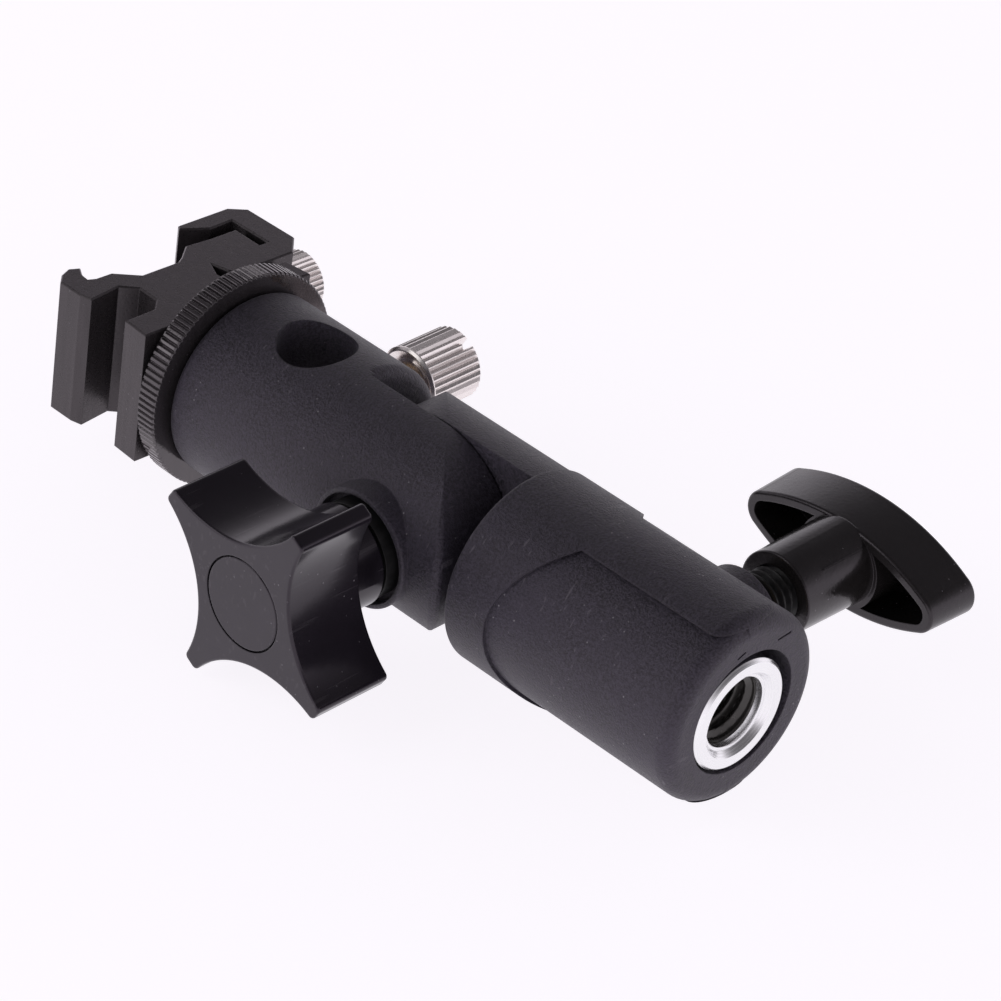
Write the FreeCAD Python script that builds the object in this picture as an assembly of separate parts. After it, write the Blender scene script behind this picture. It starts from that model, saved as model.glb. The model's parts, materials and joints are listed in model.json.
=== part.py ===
import FreeCAD, Part
import math
import os

# Umbrella swivel bracket, in millimetres.
# The origin is where the hinge axis crosses the axis of the two bodies.
# +X runs to the stand socket, -X to the flash shoe.
# +Y runs from the star knob side to the T-handle side, and +Z is up.

Vec = FreeCAD.Vector
X_DIR = Vec(1, 0, 0)
Y_DIR = Vec(0, 1, 0)
Z_DIR = Vec(0, 0, 1)

# Hinge
EAR_R = 13.6
EAR_GAP = 0.3
EAR_INNER_Y = 0.15
EAR_EDGE_ROUND = 1.2
HINGE_BOLT_R = 4.0
HINGE_HOLE_R = 4.05
HINGE_WASHER_R = 9.5
HINGE_WASHER_T = 1.2
BOLT_HEAD_FLATS = 13.0
BOLT_HEAD_Y = 7.2
BOLT_HEAD_T = 4.0
BOLT_TIP_Y = -28.0

# Lower body
LOWER_START_X = 15.4
LOWER_END_X = 54.3
LOWER_R = 13.97
PANEL_R = 13.5
PANEL_HALF_HEIGHT = 12.85
PANEL_ARC_X = 37.66
PANEL_ARC_R = 15.06
LOWER_CORE_ROUND = 2.2
LOWER_SKIN_ROUND = 2.6
SOCKET_R = 8.8
SOCKET_BOTTOM_X = 21.5

# Stand lock
LOCK_X = 39.8
LOCK_BOSS_R = 6.5
LOCK_BOSS_END_Y = 15.3
LOCK_STUD_R = 4.0
LOCK_TIP_Y = 7.6
T_HUB_START_Y = 21.7
T_WING_START_Y = 34.0
T_WING_END_Y = 42.6
T_HUB_R = 5.9
T_HUB_OUTER_R = 6.15
T_WING_HALF_LENGTH = 16.2
T_WING_HALF_HEIGHT = 6.3
T_WING_TIP_R = 2.9
T_WING_WALL = 1.4
T_WING_FLOOR = 1.6
T_WING_TILT = 2.0
T_WING_DROP = 0.35

# Spigot adapter
SPIGOT_R = 7.9375
SPIGOT_END_X = 54.68
SPIGOT_LENGTH = 32.0
SPIGOT_OFFSET_Y = -0.8
SPIGOT_WAIST_R = 6.9
SPIGOT_THREAD_R = 4.0
SPIGOT_BACK_THREAD_R = 2.6

# Upper body
UPPER_R = 13.6
UPPER_END_X = -37.8
CHEEK_END_X = -13.95
CHEEK_ROUND = 1.6
STAR_BOSS_R = 8.4
STAR_BOSS_Y = -14.4
STAR_BOSS_RECESS_R = 7.7
STAR_BOSS_RECESS_Y = -12.8

# Umbrella hole and its lock screw
UMBRELLA_X = -24.3
UMBRELLA_Y = -0.25
UMBRELLA_HOLE_R = 5.45
LOCK_SCREW_R = 2.5
LOCK_SCREW_HEAD_R = 5.15
LOCK_SCREW_HEAD_START_Y = 17.5
LOCK_SCREW_HEAD_END_Y = 27.0
LOCK_SCREW_SLOT_ANGLE = 28.0
LOCK_SCREW_TIP_Y = 5.6
LOCK_SCREW_KNURLS = 32
LOCK_SCREW_KNURL_DEPTH = 0.4

# Star knob
STAR_FRONT_Y = -34.2
STAR_DEPTH = 12.0
STAR_TIP_R = 17.0
STAR_TIP_WIDTH = 2.5
STAR_VALLEY_R = 8.8
STAR_TIP_ANGLE = 58.4
STAR_HUB_R = 7.1
STAR_HUB_END_Y = -16.0
STAR_CAP_R = 6.4
STAR_CAP_T = 1.2
KNOB_WASHER_R = 6.8
KNOB_WASHER_T = 2.9

# Lock ring
RING_FRONT_X = -38.15
RING_BACK_X = -41.4
RING_R = 16.0
RING_KNURLS = 110
RING_KNURL_DEPTH = 0.42

# Shoe, an extruded profile. Its length lies along Z before it is turned to its place.
SHOE_HALF_LENGTH = 10.0
SHOE_END_CHAMFER = 0.2
SHOE_SWIVEL = -2.4
SHOE_SCREW_R = 3.0
SHOE_SCREW_TIP_X = -31.2
SHOE_SCREW_HEAD_R = 4.6
SHOE_SEAT_X = -52.4
SHOE_BASE_X = -42.1
CLAMP_X = -53.6
CLAMP_SCREW_R = 2.0
CLAMP_HEAD_R = 4.35
CLAMP_HEAD_START_Y = 20.3
CLAMP_HEAD_END_Y = 25.8
CLAMP_TIP_Y = 6.5
CLAMP_KNURLS = 34
CLAMP_KNURL_DEPTH = 0.32
CLAMP_SLOT_ANGLE = -40.0


def cyl(radius, start, end):
    """Cylinder between two points."""
    axis = end.sub(start)
    return Part.makeCylinder(radius, axis.Length, start, axis)


def cyl_x(radius, x0, x1, y=0.0, z=0.0):
    return cyl(radius, Vec(x0, y, z), Vec(x1, y, z))


def cyl_y(radius, y0, y1, x=0.0, z=0.0):
    return cyl(radius, Vec(x, y0, z), Vec(x, y1, z))


def cyl_z(radius, z0, z1, x=0.0, y=0.0):
    return cyl(radius, Vec(x, y, z0), Vec(x, y, z1))


def cone_y(r0, r1, y0, y1, x=0.0, z=0.0):
    return Part.makeCone(r0, r1, y1 - y0, Vec(x, y0, z), Y_DIR)


def block(x0, x1, y0, y1, z0, z1):
    return Part.makeBox(x1 - x0, y1 - y0, z1 - z0, Vec(x0, y0, z0))


def revolve_x(points, y=0.0, z=0.0):
    """Turn an outline of (x, radius) points about the X axis."""
    corners = [Vec(px, y + pr, z) for px, pr in points]
    wire = Part.makePolygon(corners + [corners[0]])
    return Part.Face(wire).revolve(Vec(0, y, z), X_DIR, 360)


def revolve_y(points, x=0.0, z=0.0):
    """Turn an outline of (y, radius) points about an axis along Y."""
    corners = [Vec(x + pr, py, z) for py, pr in points]
    wire = Part.makePolygon(corners + [corners[0]])
    return Part.Face(wire).revolve(Vec(x, 0, z), Y_DIR, 360)


def hexagon_y(flats, y0, y1, x=0.0, z=0.0):
    """Hexagonal prism along Y."""
    reach = flats / math.sqrt(3)
    corners = []
    for i in range(6):
        a = math.radians(60 * i)
        corners.append(Vec(x + reach * math.cos(a), y0, z + reach * math.sin(a)))
    wire = Part.makePolygon(corners + [corners[0]])
    return Part.Face(wire).extrude(Vec(0, y1 - y0, 0))


def save(name, shape):
    """Write one closed solid to its own STEP file."""
    shape = shape.removeSplitter()
    if len(shape.Solids) == 1:
        shape = shape.Solids[0]
    if len(shape.Solids) != 1 or not shape.isValid():
        raise ValueError("bad solid: " + name + " " + str(len(shape.Solids)))
    shape.exportStep("parts/" + name + ".step")


def rounded_plug(radius, x0, x1, end_round):
    """Round bar along X with a rounded edge at its +X end."""
    bar = cyl_x(radius, x0, x1)
    edge = [e for e in bar.Edges if abs(e.BoundBox.XMin - x1) < 1e-6 and abs(e.BoundBox.XMax - x1) < 1e-6]
    return bar.makeFillet(end_round, edge[:1])


def panel_prism(side):
    """Arch-ended recess on one side of the lower body, running out at the socket end."""
    h = PANEL_HALF_HEIGHT
    x_spring = PANEL_ARC_X - math.sqrt(PANEL_ARC_R ** 2 - h ** 2)
    x_tip = PANEL_ARC_X - PANEL_ARC_R
    x_out = LOWER_END_X + 5
    arc = Part.Arc(Vec(x_spring, 0, h), Vec(x_tip, 0, 0), Vec(x_spring, 0, -h)).toShape()
    lines = Part.makePolygon([Vec(x_spring, 0, -h), Vec(x_out, 0, -h), Vec(x_out, 0, h), Vec(x_spring, 0, h)])
    face = Part.Face(Part.Wire([arc] + lines.Edges))
    prism = face.extrude(Vec(0, 20, 0))
    if side < 0:
        prism.translate(Vec(0, -20.8, 0))
    else:
        prism.translate(Vec(0, 0.8, 0))
    return prism


def mould_mark(y0, z0, y1, z1):
    """Short shallow groove on the socket end face."""
    length = math.hypot(y1 - y0, z1 - z0)
    mark = block(LOWER_END_X - 0.35, LOWER_END_X + 1, 0, length, -0.14, 0.14)
    mark.rotate(Vec(0, 0, 0), X_DIR, math.degrees(math.atan2(z1 - z0, y1 - y0)))
    mark.translate(Vec(0, y0, z0))
    return mark


def lower_body():
    core = rounded_plug(PANEL_R, LOWER_START_X, LOWER_END_X, LOWER_CORE_ROUND)
    skin = rounded_plug(LOWER_R, LOWER_START_X, LOWER_END_X, LOWER_SKIN_ROUND)
    rim = [e for e in skin.Edges if abs(e.BoundBox.XMax - LOWER_START_X) < 1e-6]
    skin = skin.makeFillet(0.6, rim[:1])
    core = core.common(block(LOWER_START_X + 1, 80, -30, 30, -30, 30))
    skin = skin.cut(panel_prism(-1)).cut(panel_prism(1))
    boss = cyl_y(LOCK_BOSS_R, 9.5, LOCK_BOSS_END_Y, LOCK_X)
    body = core.fuse([skin, boss, hinge_bar()])
    body = body.cut(cyl_x(SOCKET_R, SOCKET_BOTTOM_X, 60))
    body = body.cut(cyl_y(5.0, 6.0, 20.0, LOCK_X))
    body = body.cut(mould_mark(-2.6, 9.25, -1.2, 9.75))
    body = body.cut(mould_mark(4.8, 8.9, 7.2, 9.1))
    return body


def ear_edge_waste(side):
    """What rounds the outer edge of an ear. It fades out towards the ear's top and bottom."""
    waste = []
    for turn in (22.5, 45.0, 67.5):
        a = math.radians(turn)
        out = Vec(math.cos(a), -math.sin(a), 0) * side
        along = Vec(math.sin(a), math.cos(a), 0)
        full = math.cos(a) + math.sin(a)
        reach = EAR_R * full - EAR_EDGE_ROUND * (full - 1)
        start = along * -30
        ellipse = Part.Ellipse(start + out * reach, start + Z_DIR * (EAR_R + 0.2), start)
        kept = Part.Face(Part.Wire(ellipse.toShape())).extrude(along * 60)
        far = start + out * 25
        corners = [start - Z_DIR * 16, far - Z_DIR * 16, far + Z_DIR * 16, start + Z_DIR * 16]
        half = Part.Face(Part.makePolygon(corners + [corners[0]])).extrude(along * 60)
        waste.append(half.cut(kept))
    return waste


def hinge_bar():
    """Ear of the lower body: half a round bar with a rounded end about the hinge axis."""
    bar = cyl_x(EAR_R, -20, LOWER_START_X + 2)
    keep = cyl_y(EAR_R, EAR_INNER_Y, 20)
    keep = keep.fuse(block(0, LOWER_START_X + 2, EAR_INNER_Y, 20, -20, 20))
    bar = bar.common(keep).cut(ear_edge_waste(-1))
    bar = bar.cut(cyl_y(HINGE_HOLE_R, -1, 20))
    bar = bar.cut(hexagon_y(BOLT_HEAD_FLATS + 0.1, BOLT_HEAD_Y, 20))
    bar = bar.cut(cyl_y(HINGE_WASHER_R + 0.05, -1, EAR_INNER_Y + (HINGE_WASHER_T - EAR_GAP) / 2))
    return bar


def cheek_waste():
    """What is cut away to round the edge of the solid part beside the far ear."""
    cheek = cyl_x(UPPER_R, UPPER_END_X - 5, CHEEK_END_X + 5)
    far_half = block(-17, CHEEK_END_X + 4, 0.5, 20, -20, 20)
    return cheek.common(far_half).cut(rounded_plug(UPPER_R, -30, CHEEK_END_X, CHEEK_ROUND))


def upper_bar():
    """Round bar, whole up to the cheek and halved beyond it to make the near ear."""
    bar = cyl_x(UPPER_R, UPPER_END_X, 20)
    end_edge = [e for e in bar.Edges if abs(e.BoundBox.XMax - UPPER_END_X) < 1e-6]
    bar = bar.makeFillet(1.0, end_edge[:1])
    near = cyl_y(EAR_R, -20, -EAR_INNER_Y)
    near = near.fuse(block(-60, 0, -20, -EAR_INNER_Y, -20, 20))
    far = block(-60, CHEEK_END_X, -EAR_INNER_Y, 20, -20, 20)
    return bar.common(near.fuse(far)).cut([cheek_waste()] + ear_edge_waste(1))


def star_boss():
    boss = cyl_y(STAR_BOSS_R, STAR_BOSS_Y, -8)
    rim = [e for e in boss.Edges if abs(e.BoundBox.YMax - STAR_BOSS_Y) < 1e-6]
    return boss.makeFillet(0.35, rim[:1])


def upper_body():
    washer_floor = -EAR_INNER_Y - (HINGE_WASHER_T - EAR_GAP) / 2
    body = upper_bar().fuse(star_boss())
    body = body.cut(cyl_y(STAR_BOSS_RECESS_R, -30, STAR_BOSS_RECESS_Y))
    body = body.cut(cyl_y(HINGE_HOLE_R, -30, 10))
    body = body.cut(cyl_y(HINGE_WASHER_R + 0.05, washer_floor, 0.1))
    body = body.cut(cyl_z(UMBRELLA_HOLE_R, -20, 20, UMBRELLA_X, UMBRELLA_Y))
    body = body.cut(cyl_y(4.0, 4.0, 20, UMBRELLA_X))
    body = body.cut(cyl_x(4.5, UPPER_END_X - 2, -30.6))
    return body


def stand_lock_insert():
    """Threaded metal sleeve in the stand lock boss."""
    sleeve = cyl_y(5.0, 6.4, LOCK_BOSS_END_Y - 0.3, LOCK_X)
    flats = cyl_x(SOCKET_R + 0.4, 30, 50)
    return sleeve.cut(flats).cut(cyl_y(LOCK_STUD_R + 0.05, 0, 30, LOCK_X))


def hinge_washer():
    half = HINGE_WASHER_T / 2
    return cyl_y(HINGE_WASHER_R, -half, half).cut(cyl_y(HINGE_HOLE_R + 0.3, -5, 5))


def thread_grooves_y(radius, pitch, depth, y0, y1, x=0.0):
    """Ring grooves that stand in for the thread on a stud along Y."""
    grooves = []
    count = int((y1 - y0) / pitch)
    for i in range(count):
        y = y0 + pitch * (i + 0.5)
        half = pitch * 0.42
        groove = revolve_y([(y - half, radius + 0.2), (y, radius - depth), (y + half, radius + 0.2)], x)
        grooves.append(groove)
    return Part.makeCompound(grooves)


def thread_grooves_x(radius, pitch, depth, x0, x1, y=0.0):
    grooves = []
    count = int((x1 - x0) / pitch)
    for i in range(count):
        x = x0 + pitch * (i + 0.5)
        half = pitch * 0.42
        grooves.append(revolve_x([(x - half, radius + 0.2), (x, radius - depth), (x + half, radius + 0.2)], y))
    return Part.makeCompound(grooves)


def hinge_bolt():
    head = hexagon_y(BOLT_HEAD_FLATS, BOLT_HEAD_Y, BOLT_HEAD_Y + BOLT_HEAD_T)
    shank = cyl_y(HINGE_BOLT_R, BOLT_TIP_Y, BOLT_HEAD_Y + 1)
    bolt = head.fuse(shank)
    return bolt.cut(thread_grooves_y(HINGE_BOLT_R, 1.25, 0.6, BOLT_TIP_Y + 0.5, STAR_BOSS_RECESS_Y - 1))


def hinge_cover():
    """Plug that closes the pocket over the bolt head."""
    plug = hexagon_y(BOLT_HEAD_FLATS, BOLT_HEAD_Y + BOLT_HEAD_T + 0.2, 20)
    return plug.common(cyl_x(EAR_R - 0.25, -12, 12))


def knob_washer():
    outer = cyl_y(KNOB_WASHER_R, STAR_BOSS_RECESS_Y - KNOB_WASHER_T, STAR_BOSS_RECESS_Y)
    return outer.cut(cyl_y(HINGE_HOLE_R + 0.15, -30, 0))


def star_outline(y):
    """Closed outline of the four-armed knob in the plane at y."""
    half = STAR_TIP_WIDTH / 2
    tips = []
    valleys = []
    for i in range(4):
        a = math.radians(STAR_TIP_ANGLE + 90 * i)
        b = a + math.radians(45)
        out = Vec(math.cos(a), 0, math.sin(a))
        side = Vec(-math.sin(a), 0, math.cos(a))
        first = out * STAR_TIP_R - side * half + Vec(0, y, 0)
        second = out * STAR_TIP_R + side * half + Vec(0, y, 0)
        tips.append((first, second))
        valleys.append(Vec(STAR_VALLEY_R * math.cos(b), y, STAR_VALLEY_R * math.sin(b)))
    edges = []
    for i in range(4):
        edges.append(Part.makeLine(tips[i][0], tips[i][1]))
        edges.append(Part.Arc(tips[i][1], valleys[i], tips[(i + 1) % 4][0]).toShape())
    return Part.Wire(edges)


def star_knob():
    star = Part.Face(star_outline(STAR_FRONT_Y)).extrude(Vec(0, STAR_DEPTH, 0))
    long_edges = [e for e in star.Edges if e.BoundBox.YLength > STAR_DEPTH - 0.1]
    star = star.makeFillet(0.75, long_edges)
    back_y = STAR_FRONT_Y + STAR_DEPTH
    rims = [e for e in star.Edges if e.BoundBox.YLength < 1e-6]
    star = star.makeFillet(0.35, rims)
    hub = revolve_y([(back_y - 2, 0), (back_y - 2, STAR_HUB_R - 0.2), (STAR_HUB_END_Y - 0.5, STAR_HUB_R),
                     (STAR_HUB_END_Y, STAR_HUB_R - 0.4), (STAR_HUB_END_Y, 0)])
    knob = star.fuse(hub)
    knob = knob.cut(cyl_y(STAR_CAP_R + 0.2, STAR_FRONT_Y - 1, STAR_FRONT_Y + STAR_CAP_T))
    knob = knob.cut(cyl_y(5.5, back_y - 6.5, 0))
    return knob


def star_cap():
    cap = cyl_y(STAR_CAP_R, STAR_FRONT_Y, STAR_FRONT_Y + STAR_CAP_T)
    rim = [e for e in cap.Edges if abs(e.BoundBox.YMax - STAR_FRONT_Y) < 1e-6]
    return cap.makeChamfer(0.12, rim[:1])


def star_insert():
    """Threaded metal sleeve in the star knob's hub."""
    back_y = STAR_FRONT_Y + STAR_DEPTH
    sleeve = cyl_y(5.5, back_y - 6.5, STAR_HUB_END_Y - 0.3)
    return sleeve.cut(cyl_y(HINGE_BOLT_R + 0.05, -40, 0))


def knurl_cuts_y(radius, depth, count, y0, y1, x=0.0, z=0.0):
    """V grooves along Y around a knob head, with narrow crests left between them."""
    half = 0.85 * math.pi * radius / count * (depth + 0.3) / depth
    cuts = []
    for i in range(count):
        a = 360.0 * i / count
        corners = [Vec(radius - depth, y0, 0), Vec(radius + 0.3, y0, half), Vec(radius + 0.3, y0, -half)]
        wire = Part.makePolygon(corners + [corners[0]])
        groove = Part.Face(wire).extrude(Vec(0, y1 - y0, 0))
        groove.rotate(Vec(0, 0, 0), Y_DIR, a)
        groove.translate(Vec(x, 0, z))
        cuts.append(groove)
    return Part.makeCompound(cuts)


def umbrella_lock_screw():
    y0 = LOCK_SCREW_HEAD_START_Y
    y1 = LOCK_SCREW_HEAD_END_Y
    r = LOCK_SCREW_HEAD_R
    head = revolve_y([(y0 + 0.9, 0), (y0 + 0.9, 3.3), (y0, r - 0.55), (y0, r - 0.35), (y0 + 0.35, r),
                      (y1 - 0.5, r), (y1, r - 0.6), (y1, 0)], UMBRELLA_X)
    grooves = knurl_cuts_y(r, LOCK_SCREW_KNURL_DEPTH, LOCK_SCREW_KNURLS, y0 + 0.5, y1 + 1, UMBRELLA_X)
    head = head.cut(grooves)
    slot = block(UMBRELLA_X - 0.7, UMBRELLA_X + 0.7, y1 - 1.9, y1 + 1, -8, 8)
    slot.rotate(Vec(UMBRELLA_X, 0, 0), Y_DIR, LOCK_SCREW_SLOT_ANGLE)
    neck = cyl_y(3.1, 13.2, y0 + 2, UMBRELLA_X)
    shank = cyl_y(LOCK_SCREW_R, LOCK_SCREW_TIP_Y, y0 + 2, UMBRELLA_X)
    return head.cut(slot).fuse([neck, shank])


def umbrella_insert():
    """Threaded metal sleeve for the umbrella lock screw."""
    sleeve = cyl_y(4.0, 6.2, 12.8, UMBRELLA_X)
    sleeve = sleeve.cut(cyl_z(UMBRELLA_HOLE_R + 0.3, -20, 20, UMBRELLA_X, UMBRELLA_Y))
    return sleeve.cut(cyl_y(LOCK_SCREW_R + 0.05, 0, 30, UMBRELLA_X))


def spigot_adapter():
    x1 = SPIGOT_END_X
    x0 = x1 - SPIGOT_LENGTH
    r = SPIGOT_R
    w = SPIGOT_WAIST_R
    outline = [(x0, 0), (x0, r - 0.6), (x0 + 0.6, r), (LOCK_X - 6.0, r), (LOCK_X - 4.9, w),
               (LOCK_X + 4.9, w), (LOCK_X + 6.0, r), (x1 - 0.3, r), (x1, r - 0.3), (x1, 0)]
    stud = revolve_x(outline, SPIGOT_OFFSET_Y)
    front = revolve_x([(x1 - 16, 0), (x1 - 16, SPIGOT_THREAD_R), (x1 - 2.2, SPIGOT_THREAD_R),
                       (x1 - 2.2, 4.9), (x1 - 1.1, 4.9), (x1, 5.85), (x1 + 1, 5.85), (x1 + 1, 0)],
                      SPIGOT_OFFSET_Y)
    back = revolve_x([(x0 - 1, 0), (x0 - 1, 3.4), (x0, 3.4), (x0 + 0.8, SPIGOT_BACK_THREAD_R),
                      (x0 + 11, SPIGOT_BACK_THREAD_R), (x0 + 11, 0)], SPIGOT_OFFSET_Y)
    return stud.cut(front).cut(back)


def t_wing_outline(half_length, half_height, tip_r, y):
    """Lens-shaped outline with round ends."""
    cx = half_length - tip_r
    a = math.radians(68)
    up = [Vec(-cx - tip_r * math.cos(a), y, tip_r * math.sin(a)), Vec(0, y, half_height),
          Vec(cx + tip_r * math.cos(a), y, tip_r * math.sin(a))]
    down = [Vec(p.x, y, -p.z) for p in up]
    left = Part.Arc(down[0], Vec(-half_length, y, 0), up[0]).toShape()
    right = Part.Arc(up[2], Vec(half_length, y, 0), down[2]).toShape()
    top = Part.Arc(up[0], up[1], up[2]).toShape()
    bottom = Part.Arc(down[2], down[1], down[0]).toShape()
    return Part.Wire([left, top, right, bottom])


def parting_rib(angle):
    """Faint raised line along the hub where the two mould halves met."""
    rib = block(T_HUB_R - 1, T_HUB_OUTER_R + 0.04, T_HUB_START_Y + 4, T_WING_START_Y + 0.3, -0.1, 0.1)
    rib.rotate(Vec(0, 0, 0), Y_DIR, -angle)
    return rib


def t_handle():
    hl = T_WING_HALF_LENGTH
    hh = T_WING_HALF_HEIGHT
    near = t_wing_outline(hl, hh, T_WING_TIP_R, T_WING_START_Y)
    far = t_wing_outline(hl + 0.35, hh + 0.3, T_WING_TIP_R + 0.3, T_WING_END_Y)
    wing = Part.makeLoft([near, far], True, True)
    rims = [e for e in wing.Edges if e.BoundBox.YLength < 1e-6]
    wing = wing.makeFillet(0.45, rims)
    w = T_WING_WALL
    inner = t_wing_outline(hl - w, hh - w, T_WING_TIP_R - w + 0.2, T_WING_START_Y - 1)
    pocket = Part.Face(inner).extrude(Vec(0, T_WING_END_Y - T_WING_FLOOR - T_WING_START_Y + 1, 0))
    web = cyl_y(T_HUB_OUTER_R + 0.55, T_WING_START_Y - 2, T_WING_END_Y)
    wing = wing.cut(pocket.cut(web))
    wing.rotate(Vec(0, 0, 0), Y_DIR, T_WING_TILT)
    wing.translate(Vec(0, 0, -T_WING_DROP))
    hub = cone_y(T_HUB_R, T_HUB_OUTER_R, T_HUB_START_Y, T_WING_START_Y + 0.5)
    hub_rim = [e for e in hub.Edges if abs(e.BoundBox.YMax - T_HUB_START_Y) < 1e-6]
    hub = hub.makeFillet(0.3, hub_rim[:1])
    handle = wing.fuse([hub, parting_rib(47), parting_rib(227)])
    handle = handle.cut(cyl_y(LOCK_STUD_R + 0.02, 0, T_WING_START_Y + 2))
    handle.translate(Vec(LOCK_X, 0, 0))
    return handle


def t_stud():
    stud = revolve_y([(LOCK_TIP_Y, 0), (LOCK_TIP_Y, 3.0), (LOCK_TIP_Y + 0.8, LOCK_STUD_R),
                      (T_WING_START_Y + 1.5, LOCK_STUD_R), (T_WING_START_Y + 1.5, 0)], LOCK_X)
    return stud.cut(thread_grooves_y(LOCK_STUD_R, 1.25, 0.6, LOCK_TIP_Y + 1, T_HUB_START_Y, LOCK_X))


def knurl_cuts_x(radius, depth, count, x0, x1):
    half = math.pi * radius / count
    cuts = []
    for i in range(count):
        corners = [Vec(x0, radius - depth, 0), Vec(x0, radius + 0.3, half), Vec(x0, radius + 0.3, -half)]
        wire = Part.makePolygon(corners + [corners[0]])
        groove = Part.Face(wire).extrude(Vec(x1 - x0, 0, 0))
        groove.rotate(Vec(0, 0, 0), X_DIR, 360.0 * i / count)
        cuts.append(groove)
    return Part.makeCompound(cuts)


def lock_ring():
    f = RING_FRONT_X
    b = RING_BACK_X
    ring = revolve_x([(b, 0), (b, RING_R - 0.2), (b + 0.2, RING_R),
                      (f - 0.2, RING_R), (f, RING_R - 0.2), (f, 0)])
    ring = ring.cut(knurl_cuts_x(RING_R, RING_KNURL_DEPTH, RING_KNURLS, b - 1, f + 1))
    return ring.cut(cyl_x(SHOE_SCREW_R + 0.05, b - 1, f + 1))


def ring_washer():
    return cyl_x(10.0, SHOE_BASE_X, RING_BACK_X).cut(cyl_x(SHOE_SCREW_R + 0.25, -60, -30))


def stud_insert():
    """Threaded metal sleeve in the end of the upper body."""
    return cyl_x(4.5, UPPER_END_X + 0.3, -30.6).cut(cyl_x(SHOE_SCREW_R + 0.05, -60, -20))


def shoe_screw():
    """Countersunk screw that the shoe turns on."""
    k = SHOE_SEAT_X
    r = SHOE_SCREW_R
    head = SHOE_SCREW_HEAD_R
    screw = revolve_x([(k - 1.6, 0), (k - 1.6, head), (k - 1.2, head), (k + head - r - 1.2, r),
                       (SHOE_SCREW_TIP_X - 0.5, r), (SHOE_SCREW_TIP_X, r - 0.5), (SHOE_SCREW_TIP_X, 0)])
    socket = []
    for i in range(6):
        a = math.radians(60 * i)
        socket.append(Vec(k - 2, 2.3 * math.cos(a), 2.3 * math.sin(a)))
    socket_cut = Part.Face(Part.makePolygon(socket + [socket[0]])).extrude(Vec(2.6, 0, 0))
    return screw.cut(socket_cut)


def shoe_profile():
    """Outline of the extrusion in X and Y, starting at the outer corner of the left rail."""
    left_rail = [(-53.1, -14.9), (-54.9, -15.4), (-59.0, -15.4), (-60.4, -14.0), (-61.1, -12.3),
                 (-60.4, -10.7), (-58.95, -11.6), (-57.55, -11.75), (-57.15, -10.8)]
    floor = [(-57.1, -8.1), (-54.4, -4.9), (-54.4, 1.6), (-55.1, 2.8), (-57.1, 5.3), (-56.75, 9.8),
             (-56.75, 14.2)]
    slit = [(-51.75, 14.2), (-51.75, 15.6)]
    jaw = [(-58.95, 15.5), (-58.85, 11.4), (-61.0, 7.5), (-61.85, 8.1), (-61.85, 17.1), (-60.0, 19.5),
           (-50.7, 19.7), (-47.75, 16.8), (-47.75, 11.7)]
    right_channel = [(-47.9, 6.6), (-48.8, 5.8), (-51.35, 5.05), (-48.9, 3.9), (-46.6, 4.3), (-46.6, 14.2)]
    base = [(SHOE_BASE_X, 14.8), (SHOE_BASE_X, -14.9)]
    left_channel = [(-46.6, -14.6), (-46.7, -9.4), (-48.4, -7.6), (-51.9, -7.5), (-53.8, -9.6)]
    return left_rail + floor + slit + jaw + right_channel + base + left_channel


def to_shoe(shape):
    """Turn a shape from the straight position to where the shoe stands."""
    shape.rotate(Vec(0, 0, 0), X_DIR, SHOE_SWIVEL)
    return shape


def shoe_body():
    h = SHOE_HALF_LENGTH
    corners = [Vec(px, py, -h) for px, py in shoe_profile()]
    shoe = Part.Face(Part.makePolygon(corners + [corners[0]])).extrude(Vec(0, 0, 2 * h))
    shoe = shoe.makeChamfer(SHOE_END_CHAMFER, [e for e in shoe.Edges if e.BoundBox.ZLength < 1e-6])
    k = SHOE_SEAT_X
    head = SHOE_SCREW_HEAD_R + 0.1
    r = SHOE_SCREW_R + 0.05
    seat = revolve_x([(-60, 0), (-60, head), (k - 1.2, head), (k + head - r - 1.2, r), (-30, r), (-30, 0)])
    shoe = shoe.cut(seat)
    shoe = shoe.cut(cyl_y(CLAMP_SCREW_R + 0.35, 15, 25, CLAMP_X))
    shoe = shoe.cut(cyl_y(3.0, 5.6, 15.0, CLAMP_X))
    return to_shoe(shoe)


def shoe_insert():
    """Threaded sleeve that the clamp screw pulls on."""
    sleeve = cyl_y(3.0, 6.4, 13.8, CLAMP_X).cut(cyl_y(CLAMP_SCREW_R + 0.05, 0, 30, CLAMP_X))
    return to_shoe(sleeve)


def shoe_clamp_screw():
    y0 = CLAMP_HEAD_START_Y
    y1 = CLAMP_HEAD_END_Y
    r = CLAMP_HEAD_R
    head = revolve_y([(y0, 0), (y0, r - 0.7), (y0 + 0.4, r), (y1 - 0.5, r), (y1, r - 0.6), (y1, 0)], CLAMP_X)
    head = head.cut(knurl_cuts_y(r, CLAMP_KNURL_DEPTH, CLAMP_KNURLS, y0 + 0.6, y1 + 1, CLAMP_X))
    slot = block(CLAMP_X - 0.6, CLAMP_X + 0.6, y1 - 1.4, y1 + 1, -8, 8)
    slot.rotate(Vec(CLAMP_X, 0, 0), Y_DIR, CLAMP_SLOT_ANGLE)
    shank = cyl_y(CLAMP_SCREW_R, CLAMP_TIP_Y, y0 + 1, CLAMP_X)
    return to_shoe(head.cut(slot).fuse(shank))


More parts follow.
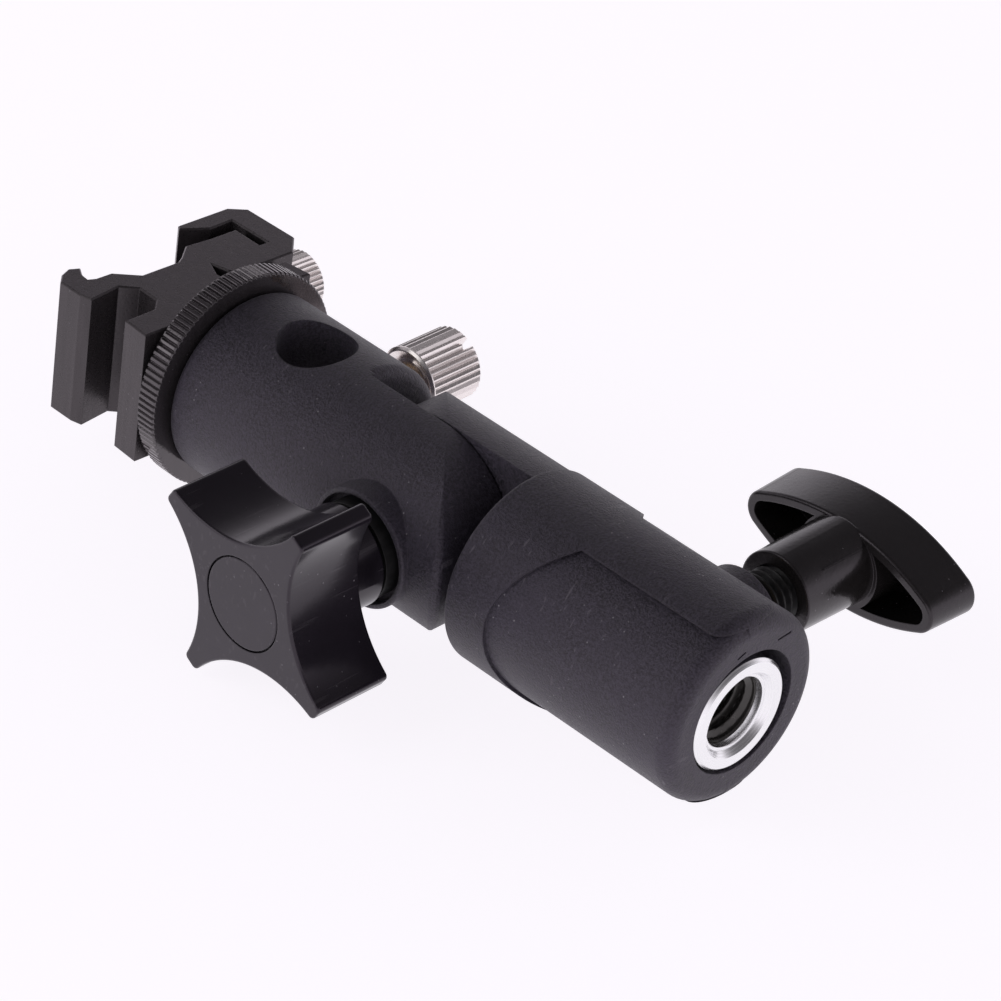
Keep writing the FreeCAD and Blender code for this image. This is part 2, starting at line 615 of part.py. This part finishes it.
os.makedirs("parts", exist_ok=True)
save("lower_body", lower_body())
save("stand_lock_insert", stand_lock_insert())
save("hinge_washer", hinge_washer())
save("hinge_bolt", hinge_bolt())
save("hinge_cover", hinge_cover())
save("spigot_adapter", spigot_adapter())
save("t_handle", t_handle())
save("t_handle_stud", t_stud())
save("upper_body", upper_body())
save("knob_washer", knob_washer())
save("star_knob", star_knob())
save("star_knob_insert", star_insert())
save("star_knob_cap", star_cap())
save("umbrella_lock_screw", umbrella_lock_screw())
save("umbrella_lock_insert", umbrella_insert())
save("lock_ring", lock_ring())
save("ring_washer", ring_washer())
save("stud_insert", stud_insert())
save("shoe_screw", shoe_screw())
save("shoe_body", shoe_body())
save("shoe_thread_insert", shoe_insert())
save("shoe_clamp_screw", shoe_clamp_screw())
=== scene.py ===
import bpy
import bmesh
import json
import math
from mathutils import Matrix, Vector


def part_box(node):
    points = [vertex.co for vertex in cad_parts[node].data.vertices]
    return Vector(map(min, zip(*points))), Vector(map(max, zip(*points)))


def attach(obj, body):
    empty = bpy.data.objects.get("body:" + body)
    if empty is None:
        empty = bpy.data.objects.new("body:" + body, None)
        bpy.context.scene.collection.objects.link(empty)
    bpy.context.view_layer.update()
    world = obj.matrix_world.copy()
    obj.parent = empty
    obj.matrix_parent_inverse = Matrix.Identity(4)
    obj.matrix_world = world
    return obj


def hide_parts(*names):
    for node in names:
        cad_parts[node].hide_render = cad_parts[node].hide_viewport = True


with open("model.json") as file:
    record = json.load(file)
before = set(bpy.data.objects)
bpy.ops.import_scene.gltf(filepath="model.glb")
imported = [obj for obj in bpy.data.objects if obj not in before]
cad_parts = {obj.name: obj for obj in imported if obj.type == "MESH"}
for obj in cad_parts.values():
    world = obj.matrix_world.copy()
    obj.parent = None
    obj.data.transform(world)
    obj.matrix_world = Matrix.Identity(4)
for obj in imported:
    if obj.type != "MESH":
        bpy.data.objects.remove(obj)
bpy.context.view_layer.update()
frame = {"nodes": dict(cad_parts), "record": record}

# Umbrella swivel bracket. Metres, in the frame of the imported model.
# +X runs to the stand socket, -X to the flash shoe, +Y to the T-handle, and +Z is up.

MM = 0.001

nodes = frame["nodes"]

# ---------------------------------------------------------------- camera

CAMERA_PLACE = Vector((0.313171, -0.338979, 0.319317))
CAMERA_AXES = Matrix(((0.699300, -0.457855, 0.548952),
                      (0.708864, 0.345178, -0.615113),
                      (0.092146, 0.819281, 0.565940)))
camera_data = bpy.data.cameras.new("camera")
camera_data.sensor_width = 36.0
camera_data.lens = 155.07
camera_data.clip_start = 0.01
camera = bpy.data.objects.new("camera", camera_data)
camera.matrix_world = Matrix.Translation(CAMERA_PLACE) @ CAMERA_AXES.to_4x4()
bpy.context.scene.collection.objects.link(camera)
bpy.context.scene.camera = camera


# ---------------------------------------------------------------- stage and light

FLOOR_HALF_SIZE = 3.0
FLOOR_DROP = 0.2 * MM
KEY_PLACE = (-0.35, -0.60, 0.45)
KEY_SIZE = 0.5
KEY_POWER = 0.9


def floor_material():
    """White acrylic table lit from below, so that shadows are faint."""
    mat = bpy.data.materials.new("floor_acrylic")
    mat.use_nodes = True
    shader = mat.node_tree.nodes["Principled BSDF"]
    shader.inputs["Base Color"].default_value = (0.30, 0.29, 0.31, 1)
    shader.inputs["Roughness"].default_value = 0.8
    shader.inputs["Specular IOR Level"].default_value = 0.1
    shader.inputs["Emission Color"].default_value = (0.985, 0.955, 1.0, 1)
    shader.inputs["Emission Strength"].default_value = 0.90
    return mat


def make_floor():
    low = min(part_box(name)[0].z for name in nodes)
    mesh = bpy.data.meshes.new("floor")
    bm = bmesh.new()
    bmesh.ops.create_grid(bm, x_segments=1, y_segments=1, size=FLOOR_HALF_SIZE)
    bmesh.ops.translate(bm, verts=bm.verts, vec=(0, 0, low - FLOOR_DROP))
    bm.to_mesh(mesh)
    bm.free()
    floor = bpy.data.objects.new("floor", mesh)
    floor.data.materials.append(floor_material())
    bpy.context.scene.collection.objects.link(floor)


def make_key_light():
    """Weak square softbox in front and to the left, aimed at the origin."""
    data = bpy.data.lights.new("key_softbox", "AREA")
    data.shape = "RECTANGLE"
    data.size = KEY_SIZE
    data.size_y = KEY_SIZE
    data.energy = KEY_POWER
    lamp = bpy.data.objects.new("key_softbox", data)
    lamp.location = KEY_PLACE
    lamp.rotation_euler = (-Vector(KEY_PLACE)).to_track_quat("-Z", "Y").to_euler()
    bpy.context.scene.collection.objects.link(lamp)


def sky_colours():
    """How bright the studio is from the floor's horizon up to the ceiling: (height, grey)."""
    return [(0.0, 1.02), (0.26, 0.98), (0.46, 0.42), (0.62, 0.18), (0.85, 0.11), (1.0, 0.10)]


def make_world():
    world = bpy.data.worlds.new("studio")
    world.use_nodes = True
    tree = world.node_tree
    coord = tree.nodes.new("ShaderNodeTexCoord")
    height = tree.nodes.new("ShaderNodeSeparateXYZ")
    ramp = tree.nodes.new("ShaderNodeValToRGB")
    tree.links.new(coord.outputs["Generated"], height.inputs["Vector"])
    tree.links.new(height.outputs["Z"], ramp.inputs["Fac"])
    tree.links.new(ramp.outputs["Color"], tree.nodes["Background"].inputs["Color"])
    stops = ramp.color_ramp.elements
    while len(stops) < len(sky_colours()):
        stops.new(0.5)
    for stop, (place, grey) in zip(stops, sky_colours()):
        stop.position = place
        stop.color = (grey, 0.955 * grey, 1.02 * grey, 1)
    bpy.context.scene.world = world


# ---------------------------------------------------------------- materials

DUST_COLOUR = (0.30, 0.29, 0.31)
SPIGOT_OFF_CENTRE = 0.8 * MM


class Shader:
    """A Principled material and short calls that add its procedural detail."""

    def __init__(self, name):
        self.mat = bpy.data.materials.new(name)
        self.mat.use_nodes = True
        self.tree = self.mat.node_tree
        self.surface = self.tree.nodes["Principled BSDF"]
        self.coord = self.tree.nodes.new("ShaderNodeTexCoord").outputs["Object"]
        self.last_normal = None

    def set(self, **values):
        for key, value in values.items():
            self.surface.inputs[key.replace("_", " ")].default_value = value

    def link(self, source, target):
        self.tree.links.new(source, target)

    def stretched(self, scale):
        """Object coordinates in metres, scaled on each axis."""
        node = self.tree.nodes.new("ShaderNodeMapping")
        node.inputs["Scale"].default_value = scale
        self.link(self.coord, node.inputs["Vector"])
        return node.outputs["Vector"]

    def noise(self, scale, detail, coord=None, roughness=0.5):
        node = self.tree.nodes.new("ShaderNodeTexNoise")
        node.inputs["Scale"].default_value = scale
        node.inputs["Detail"].default_value = detail
        node.inputs["Roughness"].default_value = roughness
        self.link(coord or self.coord, node.inputs["Vector"])
        return node.outputs["Fac"]

    def cells(self, scale):
        node = self.tree.nodes.new("ShaderNodeTexVoronoi")
        node.inputs["Scale"].default_value = scale
        self.link(self.coord, node.inputs["Vector"])
        return node.outputs["Distance"]

    def span(self, fac, low, high, start=0.0, end=1.0):
        """Map a 0..1 value from start..end to low..high."""
        node = self.tree.nodes.new("ShaderNodeMapRange")
        node.inputs["From Min"].default_value = start
        node.inputs["From Max"].default_value = end
        node.inputs["To Min"].default_value = low
        node.inputs["To Max"].default_value = high
        self.link(fac, node.inputs["Value"])
        return node.outputs["Result"]

    def mix(self, fac, first, second):
        """Colour between two colours; each may be a plain colour or another node's output."""
        node = self.tree.nodes.new("ShaderNodeMix")
        node.data_type = "RGBA"
        for slot, value in (("A", first), ("B", second)):
            socket = [s for s in node.inputs if s.name == slot and s.type == "RGBA"][0]
            if isinstance(value, tuple):
                socket.default_value = (*value, 1)
            else:
                self.link(value, socket)
        self.link(fac, node.inputs["Factor"])
        return [s for s in node.outputs if s.type == "RGBA"][0]

    def times(self, first, second):
        node = self.tree.nodes.new("ShaderNodeMath")
        node.operation = "MULTIPLY"
        self.link(first, node.inputs[0])
        self.link(second, node.inputs[1])
        return node.outputs["Value"]

    def bump(self, height, distance, strength):
        node = self.tree.nodes.new("ShaderNodeBump")
        node.inputs["Distance"].default_value = distance
        node.inputs["Strength"].default_value = strength
        self.link(height, node.inputs["Height"])
        if self.last_normal:
            self.link(self.last_normal, node.inputs["Normal"])
        self.last_normal = node.outputs["Normal"]
        self.link(self.last_normal, self.surface.inputs["Normal"])

    def soft_edges(self, radius):
        """Edges catch light as if they were rounded by radius."""
        node = self.tree.nodes.new("ShaderNodeBevel")
        node.samples = 4
        node.inputs["Radius"].default_value = radius
        self.last_normal = node.outputs["Normal"]
        self.link(self.last_normal, self.surface.inputs["Normal"])

    def colour(self, output):
        self.link(output, self.surface.inputs["Base Color"])

    def rough(self, output):
        self.link(output, self.surface.inputs["Roughness"])


def scratches(shader, coord_scale, scale, start, end):
    """Thin lines that lie one way, 1 where there is one."""
    lines = shader.noise(scale, 1.0, shader.stretched(coord_scale))
    return shader.span(lines, 0.0, 1.0, start, end)


def dust(shader, base, spread):
    """A few pale specks of dust on a dark surface, thicker in some places."""
    specks = shader.span(shader.cells(780.0), 1.0, 0.0, 0.055, 0.105)
    where = shader.span(shader.noise(110.0, 3.0), 0.0, spread, 0.47, 0.60)
    return shader.mix(shader.times(specks, where), base, DUST_COLOUR)


def nylon_body():
    """Glass-filled nylon, spark-eroded mould texture: matt, sandy, a little blue."""
    s = Shader("nylon_body")
    s.set(IOR=1.5, Specular_IOR_Level=0.5, Specular_Tint=(1.0, 0.90, 1.0, 1), Sheen_Weight=0.08,
          Sheen_Roughness=0.4)
    grain = s.noise(2900.0, 3.0, roughness=0.7)
    blotch = s.noise(160.0, 4.0)
    base = s.mix(s.span(grain, 0.0, 1.0, 0.38, 0.62), (0.004, 0.0037, 0.006), (0.053, 0.047, 0.064))
    base = s.mix(s.span(blotch, 0.0, 0.4, 0.35, 0.7), base, (0.030, 0.027, 0.037))
    haze = s.noise(52.0, 5.0, roughness=0.65)
    base = s.mix(s.span(haze, 0.0, 0.45, 0.50, 0.70), base, (0.038, 0.033, 0.051))
    rubbed = scratches(s, (1.0, 0.10, 0.35), 1500.0, 0.68, 0.71)
    where = s.span(s.noise(75.0, 2.0), 0.0, 0.5, 0.50, 0.62)
    base = s.mix(s.times(rubbed, where), base, (0.13, 0.12, 0.14))
    s.colour(dust(s, base, 0.75))
    s.rough(s.span(grain, 0.40, 0.68, 0.3, 0.7))
    s.soft_edges(0.00028)
    s.bump(grain, 0.00017, 1.0)
    s.bump(s.noise(700.0, 2.0), 0.00014, 0.5)
    return s.mat


def gloss_knob():
    """Polished moulded nylon with faint flow marks and handling scratches."""
    s = Shader("gloss_knob")
    s.set(IOR=1.5, Specular_IOR_Level=0.5, Specular_Tint=(0.99, 0.89, 1.0, 1))
    marks = scratches(s, (1.0, 0.05, 0.6), 1600.0, 0.64, 0.70)
    base = s.mix(s.noise(220.0, 3.0), (0.0065, 0.0052, 0.0075), (0.013, 0.0105, 0.015))
    base = s.mix(s.span(marks, 0.0, 0.4), base, (0.045, 0.041, 0.046))
    s.colour(dust(s, base, 0.45))
    smear = s.noise(60.0, 4.0, s.stretched((1.0, 0.25, 1.0)), 0.6)
    s.rough(s.span(smear, 0.10, 0.24, 0.3, 0.7))
    s.soft_edges(0.00022)
    s.bump(s.noise(260.0, 3.0), 0.00004, 0.5)
    s.bump(marks, 0.00001, 0.4)
    return s.mat


def satin_handle():
    """Moulded nylon handle: smoother than the bodies, duller than the knob."""
    s = Shader("satin_handle")
    s.set(IOR=1.5, Specular_IOR_Level=0.5, Specular_Tint=(1.0, 0.92, 1.0, 1))
    grain = s.noise(1800.0, 2.0)
    base = s.mix(grain, (0.010, 0.009, 0.009), (0.020, 0.018, 0.018))
    s.colour(dust(s, base, 0.6))
    s.rough(s.span(s.noise(120.0, 3.0), 0.15, 0.28, 0.3, 0.7))
    s.soft_edges(0.00022)
    s.bump(grain, 0.00003, 0.6)
    return s.mat


def black_alloy(name, metallic, ior, rough_low, rough_high):
    """Black anodised aluminium, fine grained along the extrusion."""
    s = Shader(name)
    s.set(Metallic=metallic, IOR=ior, Specular_Tint=(1.0, 0.94, 0.98, 1))
    drawn = s.noise(900.0, 3.0, s.stretched((1.0, 1.0, 0.08)), 0.6)
    grain = s.noise(3000.0, 2.0)
    base = s.mix(drawn, (0.036, 0.032, 0.034), (0.068, 0.060, 0.064))
    s.colour(dust(s, base, 0.3))
    s.rough(s.span(grain, rough_low, rough_high, 0.3, 0.7))
    s.soft_edges(0.00015)
    s.bump(grain, 0.00002, 0.6)
    s.bump(drawn, 0.00002, 0.4)
    return s.mat


def plated(name, low, high, rough_low, rough_high):
    """Bright plated metal with light smears and a fine grain."""
    s = Shader(name)
    s.set(Metallic=1.0, IOR=2.0)
    smear = s.noise(180.0, 3.0)
    s.colour(s.mix(smear, low, high))
    fine = s.noise(900.0, 2.0)
    s.rough(s.span(fine, rough_low, rough_high, 0.3, 0.7))
    s.soft_edges(0.0001)
    s.bump(fine, 0.000004, 0.3)
    return s.mat


def turned_face(name, low, high, rough_low, rough_high):
    """Bright plated metal with fine turning rings about the spigot's axis."""
    s = Shader(name)
    s.set(Metallic=1.0, IOR=2.0)
    place = s.stretched((1.0, 1.0, 1.0))
    place.node.inputs["Location"].default_value = (0, SPIGOT_OFF_CENTRE, 0)
    rings = s.tree.nodes.new("ShaderNodeTexWave")
    rings.wave_type = "RINGS"
    rings.rings_direction = "X"
    rings.inputs["Scale"].default_value = 1300.0
    rings.inputs["Distortion"].default_value = 1.5
    rings.inputs["Detail"].default_value = 2.0
    s.link(place, rings.inputs["Vector"])
    s.colour(s.mix(s.noise(160.0, 3.0), low, high))
    s.rough(s.span(rings.outputs["Fac"], rough_low, rough_high))
    s.soft_edges(0.00008)
    s.bump(rings.outputs["Fac"], 0.000003, 0.5)
    return s.mat


def bore_painted_shade():
    """Threaded bore: dull metal whose dark colour is painted shade for the inside of the bore, darker
    than the plated outside.
    """
    s = Shader("bore_painted_shade")
    s.set(Metallic=0.35, IOR=1.5, Specular_IOR_Level=0.4)
    bore_mottle = s.noise(700.0, 3.0)
    # Both colours are dark on purpose: painted shade for the inside of the bore, mottled at random.
    s.colour(s.mix(bore_mottle, (0.035, 0.033, 0.031), (0.085, 0.080, 0.076)))
    s.rough(s.span(bore_mottle, 0.16, 0.30, 0.3, 0.7))
    s.bump(s.noise(2500.0, 2.0), 0.000004, 0.5)
    return s.mat


def brushed(name, low, high, metallic, rough_low, rough_high):
    """Turned or cut metal with short fine lines."""
    s = Shader(name)
    s.set(Metallic=metallic, IOR=1.5)
    lines = s.noise(1500.0, 2.0, s.stretched((1.0, 0.15, 1.0)))
    s.colour(s.mix(lines, low, high))
    s.rough(s.span(lines, rough_low, rough_high, 0.3, 0.7))
    s.soft_edges(0.0001)
    s.bump(lines, 0.00001, 0.5)
    return s.mat


materials = {
    "nylon_body": nylon_body(),
    "gloss_knob": gloss_knob(),
    "satin_handle": satin_handle(),
    "black_alloy": black_alloy("black_alloy", 0.55, 1.6, 0.24, 0.40),
    "bright_plate": turned_face("bright_plate", (0.86, 0.86, 0.87), (0.94, 0.94, 0.95), 0.16, 0.28),
    "nickel_plate": plated("nickel_plate", (0.84, 0.78, 0.76), (0.93, 0.88, 0.86), 0.20, 0.30),
    "black_steel": brushed("black_steel", (0.010, 0.010, 0.010), (0.022, 0.021, 0.022), 0.3, 0.30, 0.44),
    "brass": brushed("brass", (0.62, 0.44, 0.18), (0.76, 0.57, 0.27), 1.0, 0.22, 0.36),
    "zinc_steel": brushed("zinc_steel", (0.48, 0.49, 0.50), (0.62, 0.63, 0.64), 1.0, 0.28, 0.42),
}

slot_of = {entry["node"]: entry["material_slot"] for entry in frame["record"]["subparts"]}
for name, node in nodes.items():
    if not node.material_slots:
        node.data.materials.append(None)
    for slot in node.material_slots:
        slot.material = materials[slot_of[name]]

for slot in nodes["lock_ring"].material_slots:
    slot.material = black_alloy("turned_black_alloy", 0.45, 2.0, 0.06, 0.13)


# ---------------------------------------------------------------- threaded pieces

ROWS_PER_PITCH = 20
CREST_SHARE = 0.12
FLANK_SHARE = 0.66
SHARP_ANGLE = math.radians(32)

FRONT_CREST_R = 4.0 * MM
FRONT_ROOT_R = 4.76 * MM
FRONT_PITCH = 1.5875 * MM
FRONT_DEPTH = 16 * MM
BACK_CREST_R = 2.6 * MM
BACK_ROOT_R = 3.15 * MM
BACK_PITCH = 1.27 * MM
BACK_DEPTH = 11 * MM
WAIST_CUT = 1.04 * MM
# Faces nearer the spigot's axis than this radius, inside the bores, get painted shade.
BORE_PAINTED_SHADE_R = 4.87 * MM

STUD_PITCH = 1.25 * MM
STUD_THREAD_HEIGHT = 0.66 * MM


def thread_depth(turn):
    """0 on the crest and 1 at the root of a 60 degree thread; turn is the place within one pitch."""
    away = abs((turn % 1.0) - 0.5) * 2
    return min(max((away - CREST_SHARE) / FLANK_SHARE, 0.0), 1.0)


def thread_rows(start, end, crest, root, pitch):
    """Rows of a threaded wall between two places on the axis.

    The thread fades out in the last half pitch at each end.
    """
    count = max(2, round(abs(end - start) / pitch * ROWS_PER_PITCH))
    rows = []
    for i in range(count + 1):
        along = start + (end - start) * i / count
        from_end = min(abs(along - start), abs(end - along))
        fade = min(1.0, from_end / (0.5 * pitch))
        rows.append((along, root, (crest - root) * fade, pitch))
    return rows


def turned_mesh(name, path, steps, place):
    """Closed turned piece. path holds (along, radius) or thread rows, from the axis round to the axis."""
    bm = bmesh.new()
    rings = []
    for row in path:
        along, radius = row[0], row[1]
        height, pitch = (row[2], row[3]) if len(row) == 4 else (0.0, 1.0)
        if radius == 0:
            rings.append([bm.verts.new(place(along, 0, 0))])
            continue
        ring = []
        for i in range(steps):
            a = 2 * math.pi * i / steps
            r = radius + height * (1 - thread_depth(along / pitch - i / steps))
            ring.append(bm.verts.new(place(along, r * math.cos(a), r * math.sin(a))))
        rings.append(ring)
    for first, second in zip(rings, rings[1:]):
        for i in range(steps):
            j = (i + 1) % steps
            corners = [first[i % len(first)], first[j % len(first)]]
            corners += [second[j % len(second)], second[i % len(second)]]
            bm.faces.new(list(dict.fromkeys(corners)))
    bmesh.ops.recalc_face_normals(bm, faces=bm.faces)
    mesh = bpy.data.meshes.new(name)
    bm.to_mesh(mesh)
    bm.free()
    mesh.shade_smooth()
    mesh.set_sharp_from_angle(angle=SHARP_ANGLE)
    piece = bpy.data.objects.new(name, mesh)
    bpy.context.scene.collection.objects.link(piece)
    return piece


def make_adapter():
    """5/8 inch spigot with a 3/8 inch-16 thread in front and a 1/4 inch-20 thread behind."""
    low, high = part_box("spigot_adapter")
    lock_low, lock_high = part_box("t_handle_stud")
    back, front = low.x, high.x
    r = (high.z - low.z) / 2
    centre_y = (low.y + high.y) / 2
    lock = (lock_low.x + lock_high.x) / 2
    waist = r - WAIST_CUT
    path = [(back + BACK_DEPTH, 0), (back + BACK_DEPTH, BACK_CREST_R)]
    path += thread_rows(back + 10.8 * MM, back + 0.9 * MM, BACK_CREST_R, BACK_ROOT_R, BACK_PITCH)
    path += [(back, 3.4 * MM), (back, r - 0.6 * MM), (back + 0.6 * MM, r)]
    path += [(lock - 6.0 * MM, r), (lock - 4.9 * MM, waist)]
    path += [(lock + 4.9 * MM, waist), (lock + 6.0 * MM, r)]
    path += [(front - 0.50 * MM, r), (front, r - 0.42 * MM), (front, 6.1 * MM)]
    path += [(front - 0.9 * MM, 5.4 * MM), (front - 0.9 * MM, 5.12 * MM), (front - 1.0 * MM, 5.0 * MM),
             (front - 1.2 * MM, 4.95 * MM), (front - 1.9 * MM, 4.9 * MM)]
    path += thread_rows(front - 2.1 * MM, front - 15.6 * MM, FRONT_CREST_R, FRONT_ROOT_R, FRONT_PITCH)
    path += [(front - FRONT_DEPTH, FRONT_ROOT_R), (front - FRONT_DEPTH, 0)]
    adapter = turned_mesh("spigot_adapter_threaded", path, 128,
                          lambda along, across, up: (along, centre_y + across, up))
    adapter.data.materials.append(materials["bright_plate"])
    # Second slot: the darker bore material, which is painted shade.
    adapter.data.materials.append(bore_painted_shade())
    # Faces inside the front and back bores get the darker material: painted shade for the recess.
    for face in adapter.data.polygons:
        centre = face.center
        from_axis = math.hypot(centre.y - centre_y, centre.z)
        if from_axis < BORE_PAINTED_SHADE_R and centre.x > back + 1 * MM:
            face.material_index = 1
    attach(adapter, "adapter")
    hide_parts("spigot_adapter")


def make_lock_stud():
    """M8 stud of the T-handle, with its thread showing between the boss and the hub."""
    low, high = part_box("t_handle_stud")
    centre_x = (low.x + high.x) / 2
    r = (high.x - low.x) / 2
    plain_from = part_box("t_handle")[0].y + 2 * MM
    path = [(low.y, 0), (low.y, r - 1.0 * MM), (low.y + 0.8 * MM, r - 0.1 * MM)]
    path += thread_rows(low.y + 0.9 * MM, plain_from, r, r - STUD_THREAD_HEIGHT, STUD_PITCH)
    path += [(plain_from + 0.2 * MM, r), (high.y, r), (high.y, 0)]
    stud = turned_mesh("t_handle_stud_threaded", path, 96,
                       lambda along, across, up: (centre_x + across, along, up))
    stud.data.materials.append(materials["black_steel"])
    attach(stud, "t_lock")
    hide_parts("t_handle_stud")


make_adapter()
make_lock_stud()
make_floor()
make_world()
make_key_light()
bpy.context.scene.view_settings.view_transform = "Standard"
